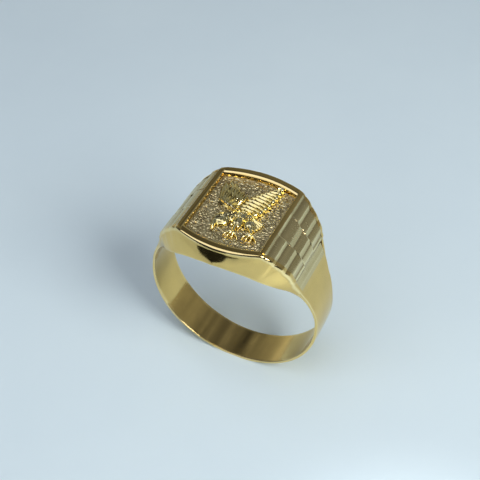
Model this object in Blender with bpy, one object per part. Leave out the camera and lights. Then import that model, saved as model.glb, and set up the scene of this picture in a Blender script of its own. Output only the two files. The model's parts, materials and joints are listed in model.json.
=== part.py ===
"""Signet ring: a hollow soldered head on a thin shank, with brick-struck shoulders and an applied eagle.

X runs across the finger hole, Y along the finger, Z up. The ring stands on the short worn flat under its
shank, and the origin is at the middle of that flat. Units are metres.
"""

import math

import bmesh
import bpy
from mathutils import Matrix, Vector

MM = 0.001

# Finger hole and shank
BORE_RADIUS = 9.9 * MM
SHANK_THICKNESS = 0.38 * MM  # at the crown of the band
SHANK_EDGE_THICKNESS = 0.33 * MM
SHANK_WIDTH_BOTTOM = 4.3 * MM
SHANK_WIDTH_SIDE = 4.56 * MM
SHANK_EDGE_RADIUS = 0.11 * MM
SHANK_FLAT = 3.4 * MM  # length of the worn flat that the ring stands on
CROWN_FADE = 20  # degrees past the flat over which the band's crown grows to its full height
BORE_EDGE_CHAMFER = 0.05 * MM

# Head
HEAD_RISE = 1.98 * MM  # from the top of the finger hole to the table
TABLE_WIDTH = 9.9 * MM  # across the finger, over the rails
TABLE_DEPTH_MIDDLE = 12.4 * MM  # along the finger, over the rims
TABLE_DEPTH_CORNER = 10.4 * MM
HEAD_DEPTH_AT_BORE = 13.94 * MM
FOOT_ANGLE = 112.0  # where the shoulders leave the round of the band, in degrees from the bottom
SEAM_ANGLE = 126.0  # where the shank is soldered to the head

# Sheet and joints
SHEET = 0.4 * MM
LINING_THICKNESS = 0.25 * MM
SOLDER_GAP = 0.03 * MM
ROLL_RADIUS = 0.26 * MM
WALL_BULGE = 0.1 * MM

# Recessed field on the table
RECESS_DEPTH = 0.5 * MM
RAIL_WIDTH = 0.6 * MM
RIM_WIDTH = 0.68 * MM  # wall edge and bezel strip together, at the middle of the rim
PLATE_THICKNESS = 0.5 * MM
STRIP_EDGE = 0.06 * MM

# Struck bricks on the shoulders, measured down the slope from the rail
BRICK_COLUMNS = 3
BRICK_PITCH = 1.5 * MM
BRICK_START = 0.35 * MM
BRICK_END = 5.3 * MM
BRICK_FIRST = 1.25 * MM  # the first brick of an outer column
BRICK_RELIEF = 0.11 * MM
BRICK_FACET_SHARE = 0.66  # of a brick's length that is the long facet, which faces up
BRICK_RUN_OUT = 1.0 * MM  # below the last bricks, where the surface comes back to the slope
COLUMN_WALL = 0.02 * MM  # how far a column's end wall leans

# Applied eagle, as offsets from the middle of the field
EAGLE_LENGTH = 9.3 * MM  # from the talons to the tip of the far wing, along Y
EAGLE_HEIGHT = 0.42 * MM

# Shapes of the shoulder as shares: angle from the bottom, then how much of the way from band to head
BORE_SPREAD = (
    (95, 0.0),
    (110, 0.08),
    (120, 0.17),
    (130, 0.34),
    (140, 0.59),
    (150, 0.78),
    (160, 0.885),
    (170, 0.963),
    (180, 1.0),
)
# Share of the way up the shoulder, then the share of the full rise or of the full width
SHOULDER_RISE = ((0, 0.0), (0.22, 0.03), (0.42, 0.207), (0.62, 0.572), (0.82, 0.79), (1, 1.0))
SHOULDER_WIDTH = ((0, 0.0), (0.22, 0.17), (0.42, 0.38), (0.62, 0.55), (0.82, 0.77), (1, 1.0))

BAND_RADIUS = BORE_RADIUS + SHANK_THICKNESS
CENTRE_HEIGHT = math.sqrt(BAND_RADIUS**2 - (SHANK_FLAT / 2) ** 2)  # of the finger hole, over the flat
FLAT_ANGLE = math.degrees(math.asin(SHANK_FLAT / 2 / BAND_RADIUS))
TABLE_HEIGHT = BORE_RADIUS + HEAD_RISE  # above the middle of the finger hole
TABLE_HALF = TABLE_WIDTH / 2
EDGE_RADIUS = math.hypot(TABLE_HALF, TABLE_HEIGHT)
EDGE_ANGLE = 180 - math.degrees(math.atan2(TABLE_HALF, TABLE_HEIGHT))
FLOOR_HEIGHT = TABLE_HEIGHT - RECESS_DEPTH


def clear_scene():
    for obj in list(bpy.data.objects):
        bpy.data.objects.remove(obj, do_unlink=True)


def gold(name, colour, roughness):
    material = bpy.data.materials.new(name)
    material.use_nodes = True
    shader = material.node_tree.nodes["Principled BSDF"]
    shader.inputs["Base Color"].default_value = (*colour, 1)
    shader.inputs["Roughness"].default_value = roughness
    shader.inputs["Metallic"].default_value = 1
    material.diffuse_color = (*colour, 1)
    return material


def mix(low, high, share):
    return low + (high - low) * share


def smooth_step(share):
    share = min(max(share, 0.0), 1.0)
    return share * share * (3 - 2 * share)


def through(stations, place):
    """The height at place of a smooth curve through the stations, with no overshoot between them."""
    steps = [(b[1] - a[1]) / (b[0] - a[0]) for a, b in zip(stations, stations[1:])]
    slopes = [0.0]
    for before, after in zip(steps, steps[1:]):
        slopes.append(2 * before * after / (before + after) if before * after > 0 else 0.0)
    slopes.append(steps[-1])
    place = min(max(place, stations[0][0]), stations[-1][0])
    for i, (low, high) in enumerate(zip(stations, stations[1:])):
        if place <= high[0]:
            span = high[0] - low[0]
            t = (place - low[0]) / span
            return (
                low[1] * (1 + 2 * t) * (1 - t) ** 2
                + slopes[i] * span * t * (1 - t) ** 2
                + high[1] * t * t * (3 - 2 * t)
                + slopes[i + 1] * span * t * t * (t - 1)
            )
    return stations[-1][1]


def bore_half_width(angle):
    """Half the ring's width along the finger at the edge of the finger hole."""
    band = mix(SHANK_WIDTH_BOTTOM, SHANK_WIDTH_SIDE, smooth_step(angle / 60)) / 2
    return band + (HEAD_DEPTH_AT_BORE - SHANK_WIDTH_SIDE) / 2 * through(BORE_SPREAD, angle)


def up_shoulder(angle):
    return (angle - FOOT_ANGLE) / (EDGE_ANGLE - FOOT_ANGLE)


def outer_radius(angle):
    """Distance from the middle of the finger hole to the outer surface."""
    if angle >= EDGE_ANGLE:
        return TABLE_HEIGHT / math.cos(math.radians(180 - angle))
    return mix(BAND_RADIUS, EDGE_RADIUS, through(SHOULDER_RISE, up_shoulder(angle)))


def rim_half_depth(x):
    """Half the table's length along the finger, which is longest at the middle."""
    bow = (TABLE_DEPTH_MIDDLE - TABLE_DEPTH_CORNER) / 2
    return TABLE_DEPTH_MIDDLE / 2 - bow * (x / TABLE_HALF) ** 2


def outer_half_width(angle):
    """Half the ring's width along the finger at its outer surface."""
    if angle >= EDGE_ANGLE:
        return rim_half_depth(TABLE_HEIGHT * math.tan(math.radians(180 - angle)))
    if angle <= FOOT_ANGLE:
        return bore_half_width(angle)
    return mix(
        bore_half_width(FOOT_ANGLE),
        TABLE_DEPTH_CORNER / 2,
        through(SHOULDER_WIDTH, up_shoulder(angle)),
    )


def side_half_width(angle, radius):
    """Half width of the flared side of the head at a radius between the bore and the outer surface."""
    share = (radius - BORE_RADIUS) / (outer_radius(angle) - BORE_RADIUS)
    return mix(bore_half_width(angle), outer_half_width(angle), share)


def inner_half_width(angle, radius):
    """The room between the front and rear walls, less the solder gap."""
    return side_half_width(angle, radius) - SHEET - SOLDER_GAP


def around(angle, side, radius, y):
    """A point at an angle from the bottom, on the +X or -X side."""
    turn = math.radians(angle)
    return Vector((side * radius * math.sin(turn), y, CENTRE_HEIGHT - radius * math.cos(turn)))


def angles_between(low, high, step):
    count = max(1, math.ceil((high - low) / step))
    return [mix(low, high, i / count) for i in range(count + 1)]


def over_the_head(start, step):
    """(angle, side) stations from the -X seam over the table to the +X seam."""
    rise = angles_between(start, EDGE_ANGLE, step) + angles_between(EDGE_ANGLE, 180, step)[1:]
    return [(angle, -1) for angle in rise] + [(angle, 1) for angle in reversed(rise[:-1])]


def add_object(name, bm, material):
    bmesh.ops.recalc_face_normals(bm, faces=bm.faces)
    mesh = bpy.data.meshes.new(name)
    bm.to_mesh(mesh)
    bm.free()
    mesh.materials.append(material)
    mesh.shade_smooth()
    mesh.set_sharp_from_angle(angle=math.radians(28))
    obj = bpy.data.objects.new(name, mesh)
    bpy.context.scene.collection.objects.link(obj)
    return obj


def loft(name, sections, material):
    """A closed solid through sections that all have the same number of points, capped at both ends."""
    bm = bmesh.new()
    rows = [[bm.verts.new(point) for point in section] for section in sections]
    for low, high in zip(rows, rows[1:]):
        for i in range(len(low)):
            j = (i + 1) % len(low)
            bm.faces.new((low[i], low[j], high[j], high[i]))
    for end in (rows[0], rows[-1]):
        cap = bm.faces.new(end)
        bmesh.ops.triangulate(bm, faces=[cap])
    return add_object(name, bm, material)


def prism(name, outline, low, high, material, edge):
    """A flat plate with the given outline and its upper edge bevelled."""
    bm = bmesh.new()
    foot = bm.faces.new([bm.verts.new((x, y, low)) for x, y in outline])
    raised = bmesh.ops.extrude_face_region(bm, geom=[foot])["geom"]
    top = [v for v in raised if isinstance(v, bmesh.types.BMVert)]
    bmesh.ops.translate(bm, verts=top, vec=(0, 0, high - low))
    if edge:
        rim = [e for e in bm.edges if all(v in top for v in e.verts)]
        bmesh.ops.bevel(bm, geom=rim, offset=edge, segments=2, profile=0.5, affect="EDGES")
    return add_object(name, bm, material)


# Shank: a thin band, slightly crowned outside, with softened edges


def shank_section(angle, side):
    half = bore_half_width(angle)
    outer = outer_radius(angle)
    grown = smooth_step((angle - FOOT_ANGLE) / (SEAM_ANGLE - FOOT_ANGLE))
    crown = (SHANK_THICKNESS - SHANK_EDGE_THICKNESS) * (1 - grown)
    crown *= smooth_step((angle - FLAT_ANGLE) / CROWN_FADE)  # worn away at the flat
    top_half = outer_half_width(angle)
    edge = SHANK_EDGE_RADIUS
    chamfer = BORE_EDGE_CHAMFER
    right = [(BORE_RADIUS, half - chamfer), (BORE_RADIUS + chamfer, half)]
    for turn in (0, 30, 60, 90):
        rounded = math.radians(turn)
        right.append(
            (
                outer - crown - edge + edge * math.sin(rounded),
                top_half - edge + edge * math.cos(rounded),
            )
        )
    right.append((outer - crown * 0.3, top_half * 0.55))
    outline = right + [(outer, 0.0)] + [(radius, -y) for radius, y in reversed(right)]
    points = [around(angle, side, radius, y) for radius, y in outline]
    for point in points:  # nothing reaches below the flat
        point.z = max(point.z, 0.0)
    return points


def make_shank(material):
    ends = SEAM_ANGLE - math.degrees(SOLDER_GAP / BORE_RADIUS)
    side_angles = angles_between(0, FLAT_ANGLE, 4.5) + angles_between(FLAT_ANGLE, ends, 4.5)[1:]
    stations = [(angle, -1) for angle in reversed(side_angles)] + [(a, 1) for a in side_angles[1:]]
    return loft("shank", [shank_section(*station) for station in stations], material)


# Head: lining, two flared walls, two brick-struck shoulders


def lining_section(angle, side):
    outline = []
    for radius in (BORE_RADIUS, BORE_RADIUS + LINING_THICKNESS):
        outline.append((radius, inner_half_width(angle, radius)))
    outline += [(radius, -y) for radius, y in reversed(outline)]
    return [around(angle, side, radius, y) for radius, y in outline]


def make_lining(material):
    stations = over_the_head(SEAM_ANGLE, 3)
    return loft("head_lining", [lining_section(*s) for s in stations], material)


def wall_section(angle, side, facing):
    outer = outer_radius(angle)
    rise = outer - BORE_RADIUS
    bulge = WALL_BULGE * min(1.0, rise / (TABLE_HEIGHT - BORE_RADIUS))
    roll = min(ROLL_RADIUS, 0.42 * rise, 0.8 * SHEET)
    chamfer = BORE_EDGE_CHAMFER

    def face(share):
        y = mix(bore_half_width(angle), outer_half_width(angle), share)
        return y + bulge * 4 * share * (1 - share)

    outline = [(BORE_RADIUS, bore_half_width(angle) - chamfer)]
    roll_share = 1 - roll / rise
    for share in (chamfer / rise, 0.25 * roll_share, 0.5 * roll_share, 0.78 * roll_share):
        outline.append((BORE_RADIUS + rise * share, face(share)))
    brow = face(roll_share)
    for turn in (0, 22.5, 45, 67.5, 90):
        rounded = math.radians(turn)
        outline.append(
            (outer - roll + roll * math.sin(rounded), brow - roll + roll * math.cos(rounded))
        )
    for radius in (outer, BORE_RADIUS):
        outline.append((radius, side_half_width(angle, radius) - SHEET))
    return [around(angle, side, radius, facing * y) for radius, y in outline]


def make_wall(name, facing, material):
    stations = over_the_head(SEAM_ANGLE, 3)
    return loft(name, [wall_section(a, side, facing) for a, side in stations], material)


def shoulder_slope():
    """(distance down the slope, angle) pairs from the rail's outer face to the solder seam."""
    start = 180 - math.degrees(math.atan2(TABLE_HALF + SOLDER_GAP, TABLE_HEIGHT))
    table = [(0.0, start)]
    last = around(start, 1, outer_radius(start), 0)
    steps = 240
    for i in range(1, steps + 1):
        angle = mix(start, SEAM_ANGLE, i / steps)
        point = around(angle, 1, outer_radius(angle), 0)
        table.append((table[-1][0] + (point - last).length, angle))
        last = point
    return table


def angle_down(slope, distance):
    for (near, above), (far, below) in zip(slope, slope[1:]):
        if distance <= far:
            return mix(above, below, (distance - near) / (far - near))
    return slope[-1][1]


def brick_joints(column):
    """Where the bricks of a column meet. Every other column is shifted by half a brick."""
    shift = BRICK_PITCH / 2 if column % 2 else 0.0
    joints = [BRICK_START]
    place = BRICK_START + BRICK_FIRST + shift
    while place < BRICK_END - BRICK_PITCH / 4:
        joints.append(place)
        place += BRICK_PITCH
    return joints + [BRICK_END]


def brick_depth(column, distance):
    """Depth below the shoulder's slope: a brick rises over its long facet, drops over its short one."""
    if distance < BRICK_START:
        return BRICK_RELIEF * distance / BRICK_START
    joints = brick_joints(column)
    for start, end in zip(joints, joints[1:]):
        if start <= distance <= end:
            share = (distance - start) / (end - start)
            if share < BRICK_FACET_SHARE:
                return BRICK_RELIEF * (1 - share / BRICK_FACET_SHARE)
            return BRICK_RELIEF * (share - BRICK_FACET_SHARE) / (1 - BRICK_FACET_SHARE)
    return BRICK_RELIEF * max(0.0, 1 - (distance - BRICK_END) / BRICK_RUN_OUT)


def slope_stations(slope):
    """Distances down the slope at which the surface turns, with fill-in points where it only curves."""
    full = slope[-1][0]
    places = {0.0, full, BRICK_END + BRICK_RUN_OUT}
    for column in range(BRICK_COLUMNS):
        joints = brick_joints(column)
        places.update(joints)
        for start, end in zip(joints, joints[1:]):
            places.add(mix(start, end, BRICK_FACET_SHARE))
    fill = 0.45 * MM
    places.update(i * fill for i in range(1, int(full / fill)))
    kept = []
    for place in sorted(p for p in places if p <= full):
        if not kept or place - kept[-1] > 0.05 * MM:
            kept.append(place)
    kept[-1] = full
    return kept


def shoulder_section(angle, distance, side):
    top = outer_radius(angle)
    lowest = BORE_RADIUS + LINING_THICKNESS + SOLDER_GAP
    under = max(lowest, top - SHEET)
    half = inner_half_width(angle, top)
    columns = [-half]
    for column in range(1, BRICK_COLUMNS):
        border = mix(-half, half, column / BRICK_COLUMNS)
        columns += [border - COLUMN_WALL / 2, border + COLUMN_WALL / 2]
    columns.append(half)
    outline = []
    for i, y in enumerate(columns):
        outline.append((top - brick_depth(i // 2, distance), y))
    low_half = inner_half_width(angle, under)
    outline += [(under, low_half), (under, -low_half)]
    points = [around(angle, side, radius, y) for radius, y in outline]
    for point in points:  # the end against the rail is upright
        point.x = side * max(side * point.x, TABLE_HALF + SOLDER_GAP)
    return points


def make_shoulder(name, side, material):
    slope = shoulder_slope()
    sections = []
    for distance in slope_stations(slope):
        sections.append(shoulder_section(angle_down(slope, distance), distance, side))
    return loft(name, sections, material)


# Table: the plate of the field, and the four strips that frame it


def room_at(x):
    """Half the room along the finger between the walls, at the height of the table."""
    return rim_half_depth(x) - SHEET - SOLDER_GAP


def make_plate(material):
    half = TABLE_HALF - SOLDER_GAP
    xs = [mix(-half, half, i / 16) for i in range(17)]
    outline = [(x, -room_at(x)) for x in xs] + [(x, room_at(x)) for x in reversed(xs)]
    high = CENTRE_HEIGHT + FLOOR_HEIGHT
    return prism("table_plate", outline, high - PLATE_THICKNESS, high, material, 0)


def make_rail(name, side, material):
    near = side * (TABLE_HALF - RAIL_WIDTH)
    far = side * TABLE_HALF
    outline = [(near, -room_at(near)), (far, -room_at(far)), (far, room_at(far)), (near, room_at(near))]
    low = CENTRE_HEIGHT + FLOOR_HEIGHT + SOLDER_GAP
    return prism(name, outline, low, CENTRE_HEIGHT + TABLE_HEIGHT, material, STRIP_EDGE)


def make_bezel_strip(name, facing, material):
    """The curved strip inside a wall's top edge, between the two rails."""
    half = TABLE_HALF - RAIL_WIDTH - SOLDER_GAP
    xs = [mix(-half, half, i / 16) for i in range(17)]
    outline = [(x, facing * room_at(x)) for x in xs]
    outline += [(x, facing * (rim_half_depth(x) - RIM_WIDTH)) for x in reversed(xs)]
    low = CENTRE_HEIGHT + FLOOR_HEIGHT + SOLDER_GAP
    return prism(name, outline, low, CENTRE_HEIGHT + TABLE_HEIGHT, material, STRIP_EDGE)


# Eagle: one soldered relief, made of overlapping lobes


def add_lobe(bm, start, end, width, height, scale):
    """A flattened blade from start to end, lying on the floor of the field."""
    start = Vector(start) * scale
    end = Vector(end) * scale
    run = end - start
    turn = Matrix.Rotation(math.atan2(run.y, run.x), 4, "Z")
    size = Matrix.Diagonal((run.length / 2, width * scale / 2, height, 1))
    place = Matrix.Translation(((start.x + end.x) / 2, (start.y + end.y) / 2, 0))
    bmesh.ops.create_uvsphere(bm, u_segments=10, v_segments=6, radius=1, matrix=place @ turn @ size)


def eagle_lobes():
    """(start, end, width, height share) of each lobe, in parts of the eagle's length."""
    lobes = [
        ((-0.09, -0.13), (0.20, 0.06), 0.17, 1.0),  # body
        ((-0.23, -0.25), (-0.04, -0.12), 0.16, 0.95),  # head
        ((-0.21, -0.36), (-0.17, -0.20), 0.07, 0.75),  # beak
        ((0.00, -0.38), (0.08, -0.06), 0.10, 0.7),  # near leg
        ((-0.06, -0.36), (0.06, -0.33), 0.07, 0.6),  # near foot
        ((0.20, -0.36), (0.12, -0.04), 0.09, 0.7),  # far leg
        ((0.14, -0.34), (0.26, -0.30), 0.07, 0.6),  # far foot
    ]
    for i in range(5):
        lobes.append(((0.16, -0.04), (0.33 - 0.02 * i, -0.04 - 0.05 * i), 0.06, 0.6))  # tail
    for i in range(7):
        share = i / 6
        tip = (mix(-0.27, -0.10, share), mix(0.06, 0.30, share ** 0.7))
        lobes.append(((mix(-0.03, 0.04, share), -0.06), tip, 0.075, mix(0.62, 0.8, share)))  # near wing
    for i in range(9):
        share = i / 8
        root = (mix(0.10, 0.30, share), mix(-0.04, 0.28, share))
        tip = (mix(-0.01, 0.30, share), mix(0.22, 0.47, share))
        lobes.append((root, tip, 0.085, mix(0.8, 0.6, share)))  # far wing
    lobes.append(((0.16, -0.08), (0.36, 0.46), 0.07, 0.9))  # leading edge of the far wing
    return lobes


def make_eagle(material):
    bm = bmesh.new()
    for start, end, width, height in eagle_lobes():
        add_lobe(bm, start, end, width, EAGLE_HEIGHT * height / MM, EAGLE_LENGTH / MM)
    eagle = add_object("eagle", bm, material)
    bm = bmesh.new()
    size = 3 * EAGLE_LENGTH / MM
    block = Matrix.Translation((0, 0, size / 2)) @ Matrix.Diagonal((size, size, size, 1))
    bmesh.ops.create_cube(bm, size=1, matrix=block)
    above = add_object("above_the_floor", bm, material)
    trim = eagle.modifiers.new("flat_back", "BOOLEAN")
    trim.operation = "INTERSECT"
    trim.object = above
    trim.solver = "EXACT"
    trim.use_self = True
    graph = bpy.context.evaluated_depsgraph_get()
    merged = bpy.data.meshes.new_from_object(eagle.evaluated_get(graph))
    eagle.modifiers.clear()
    eagle.data = merged
    bpy.data.objects.remove(above, do_unlink=True)
    lift = CENTRE_HEIGHT + FLOOR_HEIGHT + SOLDER_GAP
    merged.transform(Matrix.Translation((0, 0, lift)) @ Matrix.Scale(MM, 4))
    merged.shade_smooth()
    merged.set_sharp_from_angle(angle=math.radians(40))
    return eagle


def main():
    clear_scene()
    polished = gold("polished_gold", (0.80, 0.60, 0.28), 0.12)
    satin = gold("satin_gold", (0.74, 0.58, 0.30), 0.28)
    matte = gold("sandblasted_gold", (0.62, 0.47, 0.26), 0.55)
    bright = gold("bright_gold", (0.90, 0.64, 0.20), 0.16)
    make_shank(polished)
    make_lining(polished)
    make_wall("front_wall", -1, polished)
    make_wall("rear_wall", 1, polished)
    make_shoulder("left_shoulder", -1, satin)
    make_shoulder("right_shoulder", 1, satin)
    make_plate(matte)
    make_rail("left_rail", -1, polished)
    make_rail("right_rail", 1, polished)
    make_bezel_strip("front_bezel_strip", -1, polished)
    make_bezel_strip("rear_bezel_strip", 1, polished)
    make_eagle(bright)


main()
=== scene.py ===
import json
import math

import bmesh
import bpy
import numpy as np
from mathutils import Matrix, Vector, noise


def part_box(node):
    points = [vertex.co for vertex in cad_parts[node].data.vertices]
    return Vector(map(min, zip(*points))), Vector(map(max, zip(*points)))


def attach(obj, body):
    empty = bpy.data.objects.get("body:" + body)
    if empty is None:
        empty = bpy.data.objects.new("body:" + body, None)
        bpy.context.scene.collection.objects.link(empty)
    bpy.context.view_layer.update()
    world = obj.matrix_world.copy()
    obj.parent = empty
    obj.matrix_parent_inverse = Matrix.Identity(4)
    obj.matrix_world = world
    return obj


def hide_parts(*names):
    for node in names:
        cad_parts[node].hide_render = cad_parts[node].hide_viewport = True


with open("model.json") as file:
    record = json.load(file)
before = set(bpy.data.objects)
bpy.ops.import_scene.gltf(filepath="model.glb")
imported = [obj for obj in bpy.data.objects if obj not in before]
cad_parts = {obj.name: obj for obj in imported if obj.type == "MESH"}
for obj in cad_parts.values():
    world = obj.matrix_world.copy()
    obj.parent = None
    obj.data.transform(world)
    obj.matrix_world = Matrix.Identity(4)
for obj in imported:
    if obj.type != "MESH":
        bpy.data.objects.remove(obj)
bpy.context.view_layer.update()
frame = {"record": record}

# Signet ring: X across the finger hole, Y along the finger, Z up. Shapes are worked out in millimetres.
mm = 0.001
print("frame loaded")

ringShape = {
    "bandThickness": 0.38,
    "bandWidthBottom": 4.3,
    "bandWidthSide": 4.56,
    "headDepthAtHole": 13.94,  # along the finger, where the head meets the finger hole
    "tableDepthMiddle": 12.4,
    "tableDepthCorner": 10.4,
    "footAngle": 112.0,  # degrees from the bottom, where the shoulders leave the round of the band
    "seamAngle": 126.0,
    # angle, then share of the way from the band's width to the head's, at the finger hole
    "holeSpread": (
        (95, 0.0), (110, 0.08), (120, 0.17), (130, 0.34), (140, 0.59),
        (150, 0.78), (160, 0.885), (170, 0.963), (180, 1.0),
    ),
    # share of the way up the shoulder, then share of the full rise or width
    "shoulderRise": ((0, 0.0), (0.22, 0.03), (0.42, 0.207), (0.62, 0.572), (0.82, 0.79), (1, 1.0)),
    "shoulderWidth": ((0, 0.0), (0.22, 0.17), (0.42, 0.38), (0.62, 0.55), (0.82, 0.77), (1, 1.0)),
    "sheet": 0.4,
    "lining": 0.25,
}

openings = frame["record"]["physics"]["openings"]
holeLow, holeHigh = openings[0]["box_m"]
centreHeight = (holeLow[2] + holeHigh[2]) / 2 / mm
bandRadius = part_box("shank")[1].x / mm
holeRadius = bandRadius - ringShape["bandThickness"]
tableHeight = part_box("right_rail")[1].z / mm - centreHeight
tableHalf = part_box("right_rail")[1].x / mm
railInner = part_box("right_rail")[0].x / mm
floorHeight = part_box("table_plate")[1].z / mm - centreHeight
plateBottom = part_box("table_plate")[0].z / mm - centreHeight
edgeRadius = math.hypot(tableHalf, tableHeight)
edgeAngle = 180 - math.degrees(math.atan2(tableHalf, tableHeight))


def mix(low, high, share):
    return low + (high - low) * share


def smoothStep(share):
    share = np.clip(share, 0.0, 1.0)
    return share * share * (3 - 2 * share)


# a smooth curve through stations, with no overshoot between them
def smoothCurve(stations):
    xs, ys = np.array(stations, float).T
    steps = np.diff(ys) / np.diff(xs)
    slopes = np.zeros(len(xs))
    for i in range(1, len(xs) - 1):
        if steps[i - 1] * steps[i] > 0:
            slopes[i] = 2 * steps[i - 1] * steps[i] / (steps[i - 1] + steps[i])
    slopes[-1] = steps[-1]

    def at(place):
        place = np.clip(place, xs[0], xs[-1])
        i = np.clip(np.searchsorted(xs, place) - 1, 0, len(xs) - 2)
        span = xs[i + 1] - xs[i]
        t = (place - xs[i]) / span
        near = ys[i] * (1 + 2 * t) * (1 - t) ** 2 + slopes[i] * span * t * (1 - t) ** 2
        far = ys[i + 1] * t * t * (3 - 2 * t) + slopes[i + 1] * span * t * t * (t - 1)
        return near + far

    return at


holeSpread = smoothCurve(ringShape["holeSpread"])
shoulderRise = smoothCurve(ringShape["shoulderRise"])
shoulderWidth = smoothCurve(ringShape["shoulderWidth"])


def holeHalfWidth(angle):
    low, high = ringShape["bandWidthBottom"], ringShape["bandWidthSide"]
    band = mix(low, high, smoothStep(angle / 60)) / 2
    return band + (ringShape["headDepthAtHole"] - high) / 2 * holeSpread(angle)


def upShoulder(angle):
    return (angle - ringShape["footAngle"]) / (edgeAngle - ringShape["footAngle"])


def rimHalfDepth(x):
    middle, corner = ringShape["tableDepthMiddle"] / 2, ringShape["tableDepthCorner"] / 2
    return middle - (middle - corner) * (x / tableHalf) ** 2


def outerRadius(angle):
    slope = mix(bandRadius, edgeRadius, shoulderRise(upShoulder(angle)))
    table = tableHeight / np.cos(np.radians(180 - np.maximum(angle, 90.1)))
    return np.where(angle >= edgeAngle, table, slope)


# the corner where the table turns into the shoulder, worn round on the walls
def softOuterRadius(angle, soften):
    offsets = np.linspace(-2, 2, 17)
    weights = np.exp(-offsets**2 / 2)
    turned = angle[:, None] + offsets * soften
    folded = 180 - np.abs(180 - turned)
    return (outerRadius(folded) * weights).sum(1) / weights.sum()


def outerHalfWidth(angle):
    table = rimHalfDepth(tableHeight * np.tan(np.radians(180 - np.maximum(angle, edgeAngle))))
    foot = holeHalfWidth(ringShape["footAngle"])
    slope = mix(foot, ringShape["tableDepthCorner"] / 2, shoulderWidth(upShoulder(angle)))
    slope = np.where(angle <= ringShape["footAngle"], holeHalfWidth(angle), slope)
    return np.where(angle >= edgeAngle, table, slope)


def sideHalfWidth(angle, radius):
    share = (radius - holeRadius) / (outerRadius(angle) - holeRadius)
    return mix(holeHalfWidth(angle), outerHalfWidth(angle), share)


# a point at a signed angle from the bottom of the band
def around(signed, radius, y):
    turn = np.radians(signed)
    x = radius * np.sin(turn)
    z = centreHeight - radius * np.cos(turn)
    return np.stack(np.broadcast_arrays(x, y, z), -1)


# slow waves that a hand-held buff leaves in a polished surface
def buffedWaves(points, waves):
    moved = np.array([noise.noise(Vector(p) / waves["length"]) for p in points.reshape(-1, 3)])
    return moved.reshape(points.shape[:-1]) * waves["depth"]


def gridFaces(rows, columns, start=0):
    i, j = np.meshgrid(np.arange(rows - 1), np.arange(columns), indexing="ij")
    k = (j + 1) % columns
    quads = np.stack((i * columns + j, i * columns + k, (i + 1) * columns + k, (i + 1) * columns + j), -1)
    return (quads.reshape(-1, 4) + start).tolist()


# vertices and faces of a closed body through sections with equal numbers of points
def loftBody(sections, start=0):
    rows, columns = sections.shape[:2]
    faces = gridFaces(rows, columns, start)
    faces.append([start + j for j in reversed(range(columns))])
    faces.append([start + (rows - 1) * columns + j for j in range(columns)])
    return sections.reshape(-1, 3), faces


def addPiece(name, node, material, bodies, sharpAngle=40, marks=None):
    points = np.concatenate([body[0] for body in bodies])
    points[:, 2] = np.minimum(points[:, 2], centreHeight + tableHeight)
    points *= mm
    faces = [face for body in bodies for face in body[1]]
    mesh = bpy.data.meshes.new(name)
    mesh.from_pydata(points.tolist(), [], faces)
    mesh.update()
    for label, values in (marks or {}).items():
        layer = mesh.attributes.new(label, "FLOAT", "POINT")
        layer.data.foreach_set("value", np.asarray(values, np.float32).reshape(-1))
    mesh.materials.append(material)
    piece = bpy.data.objects.new(name, mesh)
    bpy.context.scene.collection.objects.link(piece)
    bm = bmesh.new()
    bm.from_mesh(mesh)
    bmesh.ops.recalc_face_normals(bm, faces=bm.faces)
    bm.to_mesh(mesh)
    bm.free()
    mesh.shade_smooth()
    mesh.set_sharp_from_angle(angle=math.radians(sharpAngle))
    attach(piece, "root")
    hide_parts(node)
    print("made", name, len(mesh.polygons), "faces")
    return piece


# Node helpers and the effects that the finishes share


def addNode(tree, kind, settings=None, inputs=None):
    node = tree.nodes.new(kind)
    for key, value in (settings or {}).items():
        setattr(node, key, value)
    for key, value in (inputs or {}).items():
        if isinstance(value, bpy.types.NodeSocket):
            tree.links.new(value, node.inputs[key])
        else:
            node.inputs[key].default_value = value
    return node


def newGroup(name, inputs, outputs):
    tree = bpy.data.node_groups.new(name, "ShaderNodeTree")
    for label, kind, value in inputs:
        socket = tree.interface.new_socket(name=label, in_out="INPUT", socket_type=kind)
        if value is not None:
            socket.default_value = value
    for label, kind in outputs:
        tree.interface.new_socket(name=label, in_out="OUTPUT", socket_type=kind)
    return tree, tree.nodes.new("NodeGroupInput").outputs, tree.nodes.new("NodeGroupOutput").inputs


def mathNode(tree, operation, first, second=0.5, third=0.5, clamp=False):
    return addNode(
        tree, "ShaderNodeMath", {"operation": operation, "use_clamp": clamp}, {0: first, 1: second, 2: third}
    ).outputs[0]


# hairlines along one direction: a noise stretched hard, of which only the thin crests are kept
def buildHairlines():
    tree, given, made = newGroup(
        "hairlines",
        [
            ("Place", "NodeSocketVector", None),
            ("Turn", "NodeSocketVector", (0, 0, 0)),
            ("Stretch", "NodeSocketVector", (1, 1, 1)),
            ("Share", "NodeSocketFloat", 0.4),
        ],
        [("Lines", "NodeSocketFloat")],
    )
    laid = addNode(
        tree, "ShaderNodeMapping", {},
        {"Vector": given["Place"], "Rotation": given["Turn"], "Scale": given["Stretch"]},
    ).outputs[0]
    grain = addNode(tree, "ShaderNodeTexNoise", {}, {"Vector": laid, "Scale": 1.0, "Detail": 3.0}).outputs[0]
    crest = mathNode(tree, "SUBTRACT", grain, mathNode(tree, "SUBTRACT", 0.8, given["Share"]))
    lines = mathNode(tree, "MULTIPLY", crest, 5.0, clamp=True)
    tree.links.new(lines, made["Lines"])
    return tree


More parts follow.
